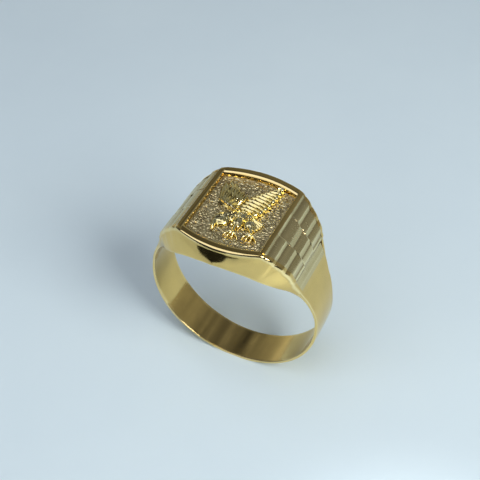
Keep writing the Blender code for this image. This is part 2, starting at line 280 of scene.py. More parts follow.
# clouds of slightly different polish and colour, as handling leaves them
def buildHandling():
    tree, given, made = newGroup(
        "handling",
        [
            ("Place", "NodeSocketVector", None),
            ("Size", "NodeSocketFloat", 400.0),
            ("Amount", "NodeSocketFloat", 0.5),
        ],
        [("Haze", "NodeSocketFloat")],
    )
    cloud = addNode(
        tree, "ShaderNodeTexNoise", {},
        {"Vector": given["Place"], "Scale": given["Size"], "Detail": 4.0, "Roughness": 0.6},
    ).outputs[0]
    spread = mathNode(tree, "MULTIPLY", mathNode(tree, "SUBTRACT", cloud, 0.35), 3.0, clamp=True)
    tree.links.new(mathNode(tree, "MULTIPLY", spread, given["Amount"]), made["Haze"])
    return tree


# edges and crests turn smooth and lighten to a brighter gold, partly wear and partly a painted highlight;
# hollows darken to a brown colour, partly film and partly painted shade
def buildWearFilmAndPaintedLight():
    tree, given, made = newGroup(
        "wearFilmAndPaintedLight",
        [
            ("Gold", "NodeSocketColor", (0.9, 0.7, 0.3, 1)),
            ("RubbedAndHighlight", "NodeSocketColor", (1, 0.8, 0.4, 1)),
            ("FilmAndPaintedShade", "NodeSocketColor", (0.3, 0.2, 0.1, 1)),
            ("WearAndPaintedHighlight", "NodeSocketFloat", 0.0),
            ("Hollow", "NodeSocketFloat", 0.0),
        ],
        [("Gold", "NodeSocketColor")],
    )
    rubbedAndHighlight = addNode(
        tree, "ShaderNodeMix", {"data_type": "RGBA"},
        {0: given["WearAndPaintedHighlight"], 6: given["Gold"], 7: given["RubbedAndHighlight"]},
    ).outputs[2]
    filmed = addNode(
        tree, "ShaderNodeMix", {"data_type": "RGBA"},
        {0: given["Hollow"], 6: rubbedAndHighlight, 7: given["FilmAndPaintedShade"]},
    ).outputs[2]
    tree.links.new(filmed, made["Gold"])
    return tree


hairlines = buildHairlines()
handling = buildHandling()
wearFilmAndPaintedLight = buildWearFilmAndPaintedLight()

# Each row of scratches is its turn, its stretch, the share of the surface it covers and how deep it cuts.
# In each finish the rubbed colour serves partly as worn metal and partly as a painted highlight, and the film
# colour partly as brown film and partly as painted shade.
goldFinishes = {
    "polishedGold": {
        "gold": (0.79, 0.57, 0.20),
        "rubbedAndHighlight": (0.98, 0.80, 0.40),
        "filmAndPaintedShade": (0.36, 0.25, 0.11),
        "roughness": (0.05, 0.16),
        "hazeSize": 260.0,
        "tone": 0.22,  # how much film the clouds of handling carry
        "scratches": (
            ((0, 0, 0.5), (9000, 300, 9000), 0.24, 1.0),
            ((0.3, 0.2, 1.7), (300, 8000, 9000), 0.22, 1.0),
            ((0.7, 0.3, 0.9), (500, 3800, 3800), 0.14, 5.0),
        ),
        "scratchDepth": 0.0009,
        "scratchFilm": 0.30,
    },
    "satinGold": {
        "gold": (0.68, 0.56, 0.29),
        "rubbedAndHighlight": (0.97, 0.85, 0.50),
        "filmAndPaintedShade": (0.42, 0.33, 0.17),
        "roughness": (0.18, 0.27),
        "hazeSize": 420.0,
        "tone": 0.14,
        "scratches": (
            ((0.5, 0.4, 0.2), (160, 12000, 12000), 0.28, 0.6),
            ((0.9, -0.5, 0.9), (200, 9000, 9000), 0.24, 0.6),
            ((0.2, 0.9, 0.5), (450, 4200, 4200), 0.16, 6.0),
        ),
        "scratchDepth": 0.0008,
        "scratchFilm": 0.34,
    },
    "sandblastedGold": {
        "gold": (0.76, 0.63, 0.33),
        "rubbedAndHighlight": (0.98, 0.90, 0.56),
        "filmAndPaintedShade": (0.36, 0.28, 0.17),
        "roughness": (0.2, 0.32),
        "hazeSize": 500.0,
        "tone": 0.1,
        "scratches": (
            ((0, 0, 0), (9000, 9000, 9000), 0.4, 1.0),
            ((0, 0, 0), (21000, 21000, 21000), 0.4, 1.0),
        ),
        "scratchDepth": 0.004,
        "scratchFilm": 0.0,
    },
    # the eagle's gold is a lighter copy of the gold, its extra brightness a painted highlight
    "paintedBrightGold": {
        "gold": (0.98, 0.80, 0.28),
        "rubbedAndHighlight": (1.0, 0.93, 0.60),
        "filmAndPaintedShade": (0.17, 0.11, 0.04),
        "roughness": (0.04, 0.12),
        "hazeSize": 1200.0,
        "tone": 0.05,
        "scratches": (
            ((0, 0, 0), (7000, 7000, 7000), 0.34, 1.0),
            ((0, 0, 0.6), (14000, 14000, 14000), 0.3, 1.0),
        ),
        "scratchDepth": 0.0012,
        "scratchFilm": 0.0,
    },
}


def makeGold(name):
    finish = goldFinishes[name]
    material = bpy.data.materials.new(name)
    material.use_nodes = True
    tree = material.node_tree
    shader = tree.nodes["Principled BSDF"]
    place = addNode(tree, "ShaderNodeTexCoord").outputs["Object"]
    haze = addNode(
        tree, "ShaderNodeGroup", {"node_tree": handling},
        {"Place": place, "Size": finish["hazeSize"], "Amount": 1.0},
    ).outputs["Haze"]
    height = None
    for turn, stretch, share, weight in finish["scratches"]:
        lines = addNode(
            tree, "ShaderNodeGroup", {"node_tree": hairlines},
            {"Place": place, "Turn": turn, "Stretch": stretch, "Share": share},
        ).outputs["Lines"]
        weighed = mathNode(tree, "MULTIPLY", lines, weight)
        height = weighed if height is None else mathNode(tree, "ADD", height, weighed)
        filmAndPaintedShade = mathNode(tree, "MULTIPLY", lines, finish["scratchFilm"])  # only the last ones hold it
    tone = mathNode(tree, "MULTIPLY", haze, finish["tone"])
    # edges and crests lighten toward the brighter gold, partly wear and partly a painted highlight; hollows
    # darken toward the brown colour, partly film and partly painted shade
    wearAndPaintedHighlight = addNode(tree, "ShaderNodeAttribute", {"attribute_name": "wearAndPaintedHighlight"}).outputs["Fac"]
    hollow = addNode(tree, "ShaderNodeAttribute", {"attribute_name": "hollow"}).outputs["Fac"]
    gold = addNode(
        tree, "ShaderNodeGroup", {"node_tree": wearFilmAndPaintedLight},
        {
            "Gold": (*finish["gold"], 1), "RubbedAndHighlight": (*finish["rubbedAndHighlight"], 1), "FilmAndPaintedShade": (*finish["filmAndPaintedShade"], 1),
            "WearAndPaintedHighlight": mathNode(tree, "MULTIPLY", wearAndPaintedHighlight, mathNode(tree, "ADD", haze, 0.5), clamp=True),
            "Hollow": mathNode(tree, "MAXIMUM", mathNode(tree, "MAXIMUM", hollow, filmAndPaintedShade), tone),
        },
    ).outputs["Gold"]
    tree.links.new(gold, shader.inputs["Base Color"])
    low, high = finish["roughness"]
    rough = mathNode(tree, "ADD", mathNode(tree, "MULTIPLY", haze, high - low), low)
    marked = mathNode(tree, "ADD", rough, mathNode(tree, "MULTIPLY", height, 0.02))
    smoothed = mathNode(tree, "SUBTRACT", marked, mathNode(tree, "MULTIPLY", wearAndPaintedHighlight, 0.03))
    tree.links.new(smoothed, shader.inputs["Roughness"])
    bump = addNode(
        tree, "ShaderNodeBump", {},
        {"Height": height, "Strength": 1.0, "Distance": finish["scratchDepth"] * mm},
    ).outputs["Normal"]
    tree.links.new(bump, shader.inputs["Normal"])
    shader.inputs["Metallic"].default_value = 1.0
    return material


polishedGold = makeGold("polishedGold")
satinGold = makeGold("satinGold")
sandblastedGold = makeGold("sandblastedGold")
paintedBrightGold = makeGold("paintedBrightGold")
print("finishes built")

# Shank: a thin band, slightly crowned outside, worn flat where it stands
shank = {
    "step": 0.6,  # degrees between sections
    "edgeThickness": 0.33,
    "edgeRound": 0.12,
    "innerRound": 0.06,
    "crownFade": 20.0,
    "waves": {"length": 2.6, "depth": 0.012},
    "streaks": {"length": 1.3, "depth": 0.012},
    "streakLength": 0.15,  # polishing streaks inside run across the band
}


def arc(turns):
    return np.radians(np.array(turns, float))


def makeShank():
    seam = ringShape["seamAngle"]
    signed = np.linspace(-seam, seam, int(2 * seam / shank["step"]) + 1)
    angle = np.abs(signed)
    half = holeHalfWidth(angle)
    topHalf = outerHalfWidth(angle)
    outer = outerRadius(angle)
    foot = ringShape["footAngle"]
    flatAngle = math.degrees(math.acos(min(1.0, centreHeight / bandRadius)))
    crown = ringShape["bandThickness"] - shank["edgeThickness"]
    crown = crown * (1 - smoothStep((angle - foot) / (seam - foot)))
    crown = crown * smoothStep((angle - flatAngle) / shank["crownFade"])
    edge, inner = shank["edgeRound"], shank["innerRound"]
    # the rounded edges lighten toward the brighter gold, partly wear and partly a painted highlight
    right, wearAndPaintedHighlight = [], []
    for share in np.linspace(0, 1, 9)[:-1]:
        right.append((holeRadius + 0 * half, (half - inner) * share))
        wearAndPaintedHighlight.append(0.0)
    for turn in arc((0, 22, 45, 67, 90)):
        right.append((holeRadius + inner * (1 - math.cos(turn)), half - inner * (1 - math.sin(turn))))
        wearAndPaintedHighlight.append(0.7)
    for turn in arc(range(0, 91, 10)):
        right.append((outer - crown - edge * (1 - math.sin(turn)), topHalf - edge * (1 - math.cos(turn))))
        wearAndPaintedHighlight.append(math.sin(2 * turn))
    for share in np.linspace(1, 0, 12)[1:]:
        right.append((outer - crown * share**2, (topHalf - edge) * share))
        wearAndPaintedHighlight.append(0.0)
    left = [(radius, -y) for radius, y in reversed(right[1:-1])]
    outline = right + left
    wearAndPaintedHighlight = wearAndPaintedHighlight + wearAndPaintedHighlight[1:-1][::-1]
    sections = np.stack([around(signed, radius, y) for radius, y in outline], 1)
    radial = np.stack([outline[j][0] + 0 * half for j in range(len(outline))], 1)
    onOutside = (radial > (holeRadius + outer[:, None]) / 2).astype(float)
    waves = buffedWaves(sections, shank["waves"])
    streaks = buffedWaves(sections * np.array([1, shank["streakLength"], 1]), shank["streaks"])
    waves = waves + streaks * (1 - onOutside)
    outward = around(signed[:, None], 1.0, 0.0) - np.array([0, 0, centreHeight])
    push = np.where(onOutside > 0, -np.abs(waves), np.abs(waves) * 0.6)
    sections = sections + outward * push[..., None]
    sections[..., 2] = np.maximum(sections[..., 2], 0.0)
    marks = {"wearAndPaintedHighlight": np.tile(wearAndPaintedHighlight, (len(signed), 1)), "hollow": np.zeros((len(signed), len(wearAndPaintedHighlight)))}
    addPiece("shank_band", "shank", polishedGold, [loftBody(sections)], 50, marks)


makeShank()

# Struck bricks in three columns, each a long facet that rises and a short one that drops
bricks = {
    "columns": 3,
    "pitch": 1.5,
    "start": 0.35,
    "end": 5.3,
    "first": 1.25,
    "relief": 0.16,
    "facetShare": 0.66,
    "runOut": 1.0,
    "hollow": 0.75,  # how far the long facets are from flat
    "columnWall": 0.09,
    "edgeSoftness": 0.075,
    "wander": 0.05,  # how far a brick's edge strays from straight
    "uneven": 0.22,  # how much the strikes differ in depth
    "stepAlong": 0.04,
    "pointsAcross": 150,
    "onWalls": 0.55,  # how deep the bricks notch the edges of the walls
    "seeds": {-1: 11, 1: 12},
}


def brickJoints(column):
    places = [bricks["start"]]
    place = bricks["start"] + bricks["first"] + (bricks["pitch"] / 2 if column % 2 else 0.0)
    while place < bricks["end"] - bricks["pitch"] / 4:
        places.append(place)
        place += bricks["pitch"]
    return places + [bricks["end"]]


def brickDepth(column, distance, strikes):
    joints = brickJoints(column)
    share = bricks["facetShare"]
    depth = np.where(distance < joints[0], strikes[0] * distance / joints[0], 0.0)
    for i, (start, end) in enumerate(zip(joints, joints[1:])):
        t = (distance - start) / (end - start)
        rising = strikes[i] * mix(1 - t / share, np.clip(1 - t / share, 0, 1) ** 2, bricks["hollow"])
        dropping = strikes[i + 1] * (t - share) / (1 - share)
        depth = np.where((t >= 0) & (t < 1), np.where(t < share, rising, dropping), depth)
    last = strikes[len(joints) - 1] * (1 - (distance - joints[-1]) / bricks["runOut"])
    return bricks["relief"] * np.where(distance >= joints[-1], np.maximum(last, 0.0), depth)


def slopePath():
    fine = np.linspace(edgeAngle, ringShape["seamAngle"], 800)
    path = around(fine, outerRadius(fine), 0.0)
    walked = np.concatenate(([0.0], np.cumsum(np.linalg.norm(np.diff(path, axis=0), axis=1))))
    return fine, walked


def brickStrikes(side):
    draw = np.random.default_rng(bricks["seeds"][side])
    return draw.uniform(1 - bricks["uneven"], 1 + bricks["uneven"], (bricks["columns"], 8))


# Head: the lining towards the finger, and two flared walls with a rolled upper edge
lining = {"step": 1.0}
walls = {
    "step": 0.25,
    "roll": 0.32,
    "rollTall": 0.42,  # the brow under the rim is rounder on its way down
    "bulge": 0.1,
    "cornerRound": 2.2,  # degrees over which the corner of the table is worn round
    "holeRound": 0.07,
    "waves": {"length": 1.9, "depth": 0.022},
}


def overTheHead(step):
    seam = ringShape["seamAngle"]
    return np.linspace(seam, 360 - seam, int((360 - 2 * seam) / step) + 1)


def makeLining():
    turn = overTheHead(lining["step"])
    angle = 180 - np.abs(180 - turn)
    outline = []
    for radius in (holeRadius, holeRadius + ringShape["lining"]):
        half = sideHalfWidth(angle, radius) - ringShape["sheet"]
        order = np.linspace(-1, 1, 15) if radius == holeRadius else np.linspace(1, -1, 15)
        outline += [(radius, half * share) for share in order]
    sections = np.stack([around(turn, radius, y) for radius, y in outline], 1)
    # the whole lining is darkened evenly, a little toward the brown colour
    marks = {"wearAndPaintedHighlight": np.zeros(sections.shape[:2]), "hollow": np.full(sections.shape[:2], 0.12)}
    body = loftBody(sections)
    addPiece("head_lining_sheet", "head_lining", polishedGold, [body], 50, marks)


def makeWall(name, node, facing):
    turn = overTheHead(walls["step"])
    angle = 180 - np.abs(180 - turn)
    fine, walked = slopePath()
    column = 0 if facing < 0 else bricks["columns"] - 1
    down = np.interp(-angle, -fine, walked)
    notches = [brickDepth(column, down, brickStrikes(side)[column]) for side in (1, -1)]
    notched = np.where(turn < 180, notches[0], notches[1]) * bricks["onWalls"]
    outer = softOuterRadius(angle, walls["cornerRound"]) - notched
    rise = outer - holeRadius
    bulge = walls["bulge"] * np.minimum(1.0, rise / (tableHeight - holeRadius))
    roll = np.minimum(walls["roll"], 0.42 * rise)
    tall = np.minimum(walls["rollTall"], 0.42 * rise)
    holeHalf, outerHalf = holeHalfWidth(angle), outerHalfWidth(angle)
    small = walls["holeRound"]

    def face(share):
        return mix(holeHalf, outerHalf, share) + bulge * 4 * share * (1 - share)

    # the rounded edge at the hole and the rolled brow lighten toward the brighter gold, partly wear and
    # partly a painted highlight
    outline, wearAndPaintedHighlight = [], []
    for corner in arc((0, 30, 60, 90)):
        share = small * (1 - math.cos(corner)) / rise
        outline.append((holeRadius + rise * share, face(share) - small * (1 - math.sin(corner))))
        wearAndPaintedHighlight.append(0.6)
    start, stop = small / rise, 1 - tall / rise
    for share in np.linspace(0, 1, 15)[1:]:
        place = mix(start, stop, share)
        outline.append((holeRadius + rise * place, face(place)))
        wearAndPaintedHighlight.append(0.0)
    brow = face(stop)
    for corner in arc(range(6, 91, 6)):
        outline.append((outer - tall * (1 - math.sin(corner)), brow - roll * (1 - math.cos(corner))))
        wearAndPaintedHighlight.append(math.sin(2 * corner) * 0.9)
    insideTop = np.minimum(sideHalfWidth(angle, outerRadius(angle)) - ringShape["sheet"], brow - roll - 0.01)
    insideLow = holeHalf - ringShape["sheet"]
    for share in (0.5, 1.0):
        outline.append((outer, mix(brow - roll, insideTop, share)))
        wearAndPaintedHighlight.append(0.0)
    outline.append((holeRadius + 0 * rise, insideLow))
    wearAndPaintedHighlight.append(0.0)
    sections = np.stack([around(turn, radius, facing * y) for radius, y in outline], 1)
    waves = buffedWaves(sections, walls["waves"])
    waves[:, -3:] = 0
    fade = np.minimum(1.0, (turn - turn[0]) / 6) * np.minimum(1.0, (turn[-1] - turn) / 6)
    inward = -facing * np.abs(waves) * fade[:, None]
    sections[..., 1] += inward
    marks = {"wearAndPaintedHighlight": np.tile(wearAndPaintedHighlight, (len(turn), 1)), "hollow": np.zeros((len(turn), len(wearAndPaintedHighlight)))}
    addPiece(name, node, polishedGold, [loftBody(sections)], 50, marks)


makeLining()
makeWall("front_wall_sheet", "front_wall", -1)
makeWall("rear_wall_sheet", "rear_wall", 1)


# Shoulders: struck sheet with the bricks
def blurred(values, width):
    count = int(math.ceil(3 * width))
    weights = np.exp(-0.5 * (np.arange(-count, count + 1) / max(width, 0.01)) ** 2)
    padded = np.pad(values, ((count, count), (0, 0)), mode="edge")
    return sum(w * padded[i : i + len(values)] for i, w in enumerate(weights)) / weights.sum()


def makeShoulder(name, node, side):
    strikes = brickStrikes(side)
    fine, walked = slopePath()
    distance = np.linspace(0, walked[-1], int(walked[-1] / bricks["stepAlong"]))
    angle = np.interp(distance, walked, fine)
    outer = outerRadius(angle)
    half = sideHalfWidth(angle, outer) - ringShape["sheet"] + 0.02
    across = np.linspace(-1, 1, bricks["pointsAcross"])
    depth = np.zeros((len(distance), len(across)))
    for column in range(bricks["columns"]):
        left = 2 * column / bricks["columns"] - 1
        right = left + 2 / bricks["columns"]
        wall = bricks["columnWall"] / 5
        inColumn = smoothStep((across - left) / wall + 0.5) * smoothStep((right - across) / wall + 0.5)
        if column == 0:
            inColumn = np.where(across < 0, smoothStep((right - across) / wall + 0.5), inColumn)
        if column == bricks["columns"] - 1:
            inColumn = np.where(across > 0, smoothStep((across - left) / wall + 0.5), inColumn)
        stray = np.array([noise.noise(Vector((a * 2.5, column * 7.0, side))) for a in across])
        stray = stray * bricks["wander"]
        depth += brickDepth(column, distance[:, None] + stray, strikes[column]) * inColumn
    depth = blurred(depth, bricks["edgeSoftness"] / bricks["stepAlong"])
    bend = np.gradient(np.gradient(depth, axis=0), axis=0)
    bend += 0.5 * np.gradient(np.gradient(depth, axis=1), axis=1)
    radius = outer[:, None] - depth
    points = around(side * angle[:, None], radius, half[:, None] * across)
    under = np.maximum(holeRadius + ringShape["lining"], outer - ringShape["sheet"])
    low = sideHalfWidth(angle, under) - ringShape["sheet"]
    bottom = np.stack([around(side * angle, under, low), around(side * angle, under, -low)], 1)
    sections = np.concatenate((points, bottom), 1)
    sections[..., 0] = side * np.maximum(side * sections[..., 0], tableHalf)
    hidden = np.zeros((len(distance), 2))
    # by the bend of the struck surface, crests lighten toward the brighter gold and hollows darken toward the
    # brown colour: partly wear and film, partly painted highlight and painted shade
    wearAndPaintedHighlight = np.concatenate((np.clip(bend / 0.004, 0, 1), hidden), 1)
    hollow = np.concatenate((np.clip(-bend / 0.006, 0, 0.6), hidden), 1)
    addPiece(name, node, satinGold, [loftBody(sections)], 60, {"wearAndPaintedHighlight": wearAndPaintedHighlight, "hollow": hollow})


makeShoulder("left_brick_shoulder", "left_shoulder", -1)
makeShoulder("right_brick_shoulder", "right_shoulder", 1)

# Table: the sandblasted plate of the field, and the four strips that frame it
plate = {"grain": 0.055, "grainDepth": 0.14, "blur": 0.95, "plainEdge": 0.35, "seed": 5}
strips = {
    "steps": 90,
    "rimRound": 0.42,
    "rimLean": 22.0,  # degrees that the recess wall leans back from upright
    "rimTop": 0.12,  # flat left on top of the strip
    "railRound": 0.13,
    "railLean": 9.0,
    "outerRound": 0.09,  # along the outer edge of the rails
    "sunk": 0.09,  # how far the strips go down past the top of the field
}


def roomAt(x):
    return rimHalfDepth(x) - ringShape["sheet"]


def makePlate():
    rows = int(2 * tableHalf / plate["grain"])
    columns = int(ringShape["tableDepthMiddle"] / plate["grain"])
    xs = np.linspace(-tableHalf + 0.01, tableHalf - 0.01, rows)
    shares = np.linspace(-1, 1, columns)
    grains = np.random.default_rng(plate["seed"]).random((rows, columns))
    grains = blurred(blurred(grains, plate["blur"]).T, plate["blur"]).T
    grains = np.clip((grains - grains.mean()) / (5 * grains.std()) + 0.5, 0, 1)
    ys = roomAt(xs)[:, None] * shares
    toRail = (railInner - np.abs(xs))[:, None]
    toRim = rimHalfDepth(xs)[:, None] - 1.0 - np.abs(ys)
    fade = np.clip(np.minimum(toRail, toRim) / plate["plainEdge"], 0.15, 1)
    top = centreHeight + floorHeight - plate["grainDepth"] * (1 - grains) * fade
    top = np.stack(np.broadcast_arrays(xs[:, None], ys, top), -1)
    low = centreHeight + plateBottom
    edges = [np.stack(np.broadcast_arrays(xs, side * roomAt(xs), low), -1) for side in (1, -1)]
    sections = np.concatenate((top, np.stack(edges, 1)), 1)
    # the grain tops lighten toward the brighter gold and the pits darken toward the brown colour: partly wear
    # and film, partly painted highlight and painted shade
    wearAndPaintedHighlight = np.concatenate((np.clip((grains - 0.56) * 4, 0, 1), np.zeros((rows, 2))), 1)
    hollow = np.concatenate((np.clip((0.44 - grains) * 5, 0, 0.9), np.zeros((rows, 2))), 1)
    marks = {"wearAndPaintedHighlight": wearAndPaintedHighlight, "hollow": hollow}
    body = loftBody(sections)
    addPiece("field_plate", "table_plate", sandblastedGold, [body], 80, marks)


# section of a strip on the floor of the recess: leaning inner face that rolls over into a flat top
def stripSection(flatEnd, outer, radius, leanAngle, roundOuter):
    top = tableHeight
    toward = np.sign(outer - flatEnd)
    lean = math.radians(leanAngle)
    outline = []
    outerRound, foot = strips["outerRound"], floorHeight - strips["sunk"]
    rise = top - radius * (1 - math.sin(lean)) - floorHeight + strips["sunk"]
    footPlace = flatEnd - toward * (radius * math.cos(lean) + rise * math.tan(lean))
    for share in (0, 0.35, 0.7):
        outline.append((footPlace + toward * rise * math.tan(lean) * share, foot + rise * share))
    for turn in np.linspace(lean, math.pi / 2, 13):
        outline.append((flatEnd - toward * radius * math.cos(turn), top - radius * (1 - math.sin(turn))))
    if roundOuter:
        for turn in arc(range(80, -1, -10)):
            x = outer - toward * outerRound * (1 - math.cos(turn))
            outline.append((x, top - outerRound * (1 - math.sin(turn))))
    else:
        outline.append((outer, top))
    outline.append((outer, foot))
    return outline


def stripMarks(outline, rows):
    # the rounded top edges lighten toward the brighter gold, partly wear and partly a painted highlight; what
    # lies below the floor of the recess is darkened a little as painted shade
    wearAndPaintedHighlight = [0.9 if 0.004 < tableHeight - z < 0.12 else 0.0 for _, z in outline]
    hollow = [0.2 if z < floorHeight else 0.0 for _, z in outline]
    return {"wearAndPaintedHighlight": np.tile(wearAndPaintedHighlight, (rows, 1)), "hollow": np.tile(hollow, (rows, 1))}


def makeRail(name, node, side):
    radius = strips["railRound"]
    outline = stripSection(railInner + radius, tableHalf, radius, strips["railLean"], True)
    shares = np.linspace(-1, 1, strips["steps"])
    columns = []
    for x, z in outline:
        room = roomAt(x)
        columns.append(np.stack(np.broadcast_arrays(side * x, room * shares, centreHeight + z), -1))
    sections = np.stack(columns, 1)
    marks = stripMarks(outline, strips["steps"])
    addPiece(name, node, polishedGold, [loftBody(sections)], 50, marks)


def makeBezelStrip(name, node, facing):
    xs = np.linspace(-railInner, railInner, strips["steps"])
    sheet = ringShape["sheet"]
    outline = stripSection(sheet + strips["rimTop"], sheet, strips["rimRound"], strips["rimLean"], False)
    columns = []
    for fromRim, z in outline:
        y = facing * (rimHalfDepth(xs) - fromRim)
        columns.append(np.stack(np.broadcast_arrays(xs, y, centreHeight + z), -1))
    sections = np.stack(columns, 1)
    marks = stripMarks(outline, strips["steps"])
    addPiece(name, node, polishedGold, [loftBody(sections)], 50, marks)


makePlate()
makeRail("left_table_rail", "left_rail", -1)
makeRail("right_table_rail", "right_rail", 1)
makeBezelStrip("front_rim_strip", "front_bezel_strip", -1)
makeBezelStrip("rear_rim_strip", "rear_bezel_strip", 1)

# Eagle: a relief of overlapping feathers. Places are millimetres from the middle of the field.
eagle = {
    "nearWing": {"count": 11, "width": 0.82},
    "farWing": {"count": 12, "width": 0.62, "ridge": 0.3},
    "tail": {"count": 5, "width": 0.46},
    "beads": 9,
    "comb": 0.016,  # depth of the barbs on the feathers
    "curl": 3.4,  # bumps to the millimetre on the head, body and legs
    "seed": 21,
}
eagleBodies = []
eagleMarks = {"wearAndPaintedHighlight": [], "hollow": []}


def keepBody(sections, wearAndPaintedHighlight, hollow):
    start = sum(len(points) for points, _ in eagleBodies)
    sections = sections + np.array([0, 0, centreHeight + floorHeight])
    eagleBodies.append(loftBody(sections, start))
    eagleMarks["wearAndPaintedHighlight"].append(np.asarray(wearAndPaintedHighlight).reshape(-1))
    eagleMarks["hollow"].append(np.asarray(hollow).reshape(-1))


# one feather lying from root to tip: a rounded vane, a quill along its middle and fine barbs
def addFeather(root, tip, width, lowZ, highZ, bend=0.0, rows=20, across=11, barbs=26):
    root, tip = np.array(root, float), np.array(tip, float)
    run = tip - root
    length = np.linalg.norm(run)
    normal = np.array([-run[1], run[0]]) / length
    t = np.linspace(0, 1, rows)
    spine = root + run * t[:, None] + normal * (bend * np.sin(math.pi * t))[:, None]
    half = width / 2 * np.clip((t + 0.10) ** 0.3 * (1 - t**8) ** 0.5, 0.06, 1)
    u = np.linspace(-1, 1, across)
    plan = spine[:, None] + normal * (u[None, :, None] * half[:, None, None])
    crest = mix(lowZ, highZ, t)[:, None]
    vane = crest - 0.15 * np.abs(u) ** 1.6 - 0.05 * (t[:, None] ** 6)
    quill = 0.035 * np.exp(-((u / 0.16) ** 2)) * (1 - t[:, None]) ** 0.5
    comb = eagle["comb"] * np.sin(barbs * (t[:, None] - 0.16 * np.abs(u)) * 2)
    z = np.maximum(vane + quill + comb, 0.0)
    top = np.concatenate((plan, z[..., None]), -1)
    foot = np.concatenate((plan[:, ::-1][:, [0, -1]], np.full((rows, 2, 1), -0.01)), -1)
    none = np.zeros((rows, 2))
    # the quill and the tip lighten toward the brighter gold and the edges of the vane darken toward the brown
    # colour: partly wear and film, partly painted highlight and painted shade
    wearAndPaintedHighlight = np.concatenate((np.clip(quill / 0.03, 0, 1) * 0.6 + 0.4 * t[:, None] + 0 * u, none), 1)
    hollow = np.concatenate((np.abs(u) ** 2.5 * 0.9 + 0 * t[:, None], none), 1)
    keepBody(np.concatenate((top, foot), 1), np.clip(wearAndPaintedHighlight, 0, 1), hollow)


# a rounded lump, long from start to end, for the body, head, thighs and toes
def addLump(start, end, widths, heights, rows=26, across=17, rough=0.0):
    start, end = np.array(start, float), np.array(end, float)
    run = end - start
    normal = np.array([-run[1], run[0]]) / np.linalg.norm(run)
    t = np.linspace(0, 1, rows)
    places = np.linspace(0, 1, len(widths))
    half = smoothCurve(list(zip(places, widths)))(t) / 2
    tall = smoothCurve(list(zip(places, heights)))(t)
    u = np.linspace(-1, 1, across)
    spine = start + run * t[:, None]
    plan = spine[:, None] + normal * (u[None, :, None] * half[:, None, None])
    z = tall[:, None] * np.sqrt(np.clip(1 - u**2, 0, 1))
    bumps = np.zeros(z.shape)
    if rough:
        points = np.concatenate((plan, z[..., None]), -1).reshape(-1, 3)
        bumps = np.array([noise.noise(Vector(p) * eagle["curl"]) for p in points]).reshape(z.shape)
        z = z + rough * bumps * (z > 0.02)
    top = np.concatenate((plan, np.maximum(z, 0)[..., None]), -1)
    foot = np.concatenate((plan[:, ::-1][:, [0, -1]], np.full((rows, 2, 1), -0.01)), -1)
    # the tops lighten toward the brighter gold and the low parts and dips darken toward the brown colour:
    # partly wear and film, partly painted highlight and painted shade
    high = np.clip(z / max(heights) * 1.4 - 0.6, 0, 0.8)
    lowFilmAndPaintedShade = np.clip(np.maximum(0.5 - z / max(heights), -bumps * 4 - 0.3), 0, 0.85)
    none = np.zeros((rows, 2))
    keepBody(np.concatenate((top, foot), 1), np.concatenate((high, none), 1), np.concatenate((lowFilmAndPaintedShade, none), 1))


# points spread evenly along a line through a few corners
def alongLine(corners, count):
    corners = np.array(corners, float)
    walked = np.concatenate(([0.0], np.cumsum(np.linalg.norm(np.diff(corners, axis=0), axis=1))))
    places = np.linspace(0, walked[-1], count)
    return np.stack([np.interp(places, walked, corners[:, i]) for i in range(2)], 1)


def makeNearWing():
    values = eagle["nearWing"]
    count = values["count"]
    edge = [
        (-2.95, 1.0), (-3.4, 2.3), (-3.7, 3.5), (-3.1, 4.05),
        (-2.5, 3.9), (-1.75, 3.2), (-1.1, 2.5), (-0.6, 1.8),
    ]
    tips = alongLine(edge, count)
    roots = alongLine([(-1.5, 0.1), (-1.1, 0.45), (-0.6, 0.6)], count)
    for i in range(count):
        addFeather(roots[i], tips[i], values["width"], 0.16, 0.17 + 0.02 * (i % 2), 0.1)
    for start, end in zip(
        ((-2.75, 0.95), (-2.3, 0.75), (-1.85, 0.5), (-1.35, 0.35), (-0.85, 0.25)),
        ((-2.85, 2.25), (-2.25, 2.2), (-1.65, 2.0), (-1.05, 1.75), (-0.5, 1.5)),
    ):
        addFeather(start, end, 0.38, 0.12, 0.50, 0.04, 20, 11, 18)
        end = np.array(end)
        addFeather(end - (0, 0.1), end + (0.05, 1.0), 0.38, 0.18, 0.42, 0.02, 16, 11, 14)
    addLump((-2.95, 0.75), (-0.5, -0.15), (0.1, 0.34, 0.42, 0.42), (0.2, 0.42, 0.45, 0.4), 24, 11, 0.05)


def makeFarWing():
    values = eagle["farWing"]
    count = values["count"]
    leading = [(1.45, -0.35), (1.95, 0.3), (2.3, 1.4), (2.5, 2.7), (2.62, 4.05), (2.55, 5.1)]
    roots = alongLine(leading, count)
    trailing = [(-0.3, 0.1), (-0.55, 1.0), (-0.3, 1.95), (0.1, 2.85), (0.8, 3.6), (1.45, 4.15), (2.05, 4.75)]
    tips = alongLine(trailing, count)
    for i in range(count):
        addFeather(roots[i], tips[i], values["width"], 0.30, 0.18 + 0.02 * (i % 2), -0.14)
    for i in range(count - 1):
        middle = (roots[i] + roots[i + 1]) / 2
        tip = middle + ((tips[i] + tips[i + 1]) / 2 - middle) * 0.72
        addFeather(middle, tip, values["ridge"], 0.32, 0.46, -0.08, 16, 9, 18)
    beads = alongLine(leading, eagle["beads"])
    for i, (near, far) in enumerate(zip(beads, beads[1:])):
        out = (far - near) * 0.5
        size = mix(0.46, 0.62, i / eagle["beads"])
        addLump(near - out * 0.1, near + out * 2.1, (0.1, size, size, 0.1), (0.16, 0.5, 0.5, 0.16), 16, 15)


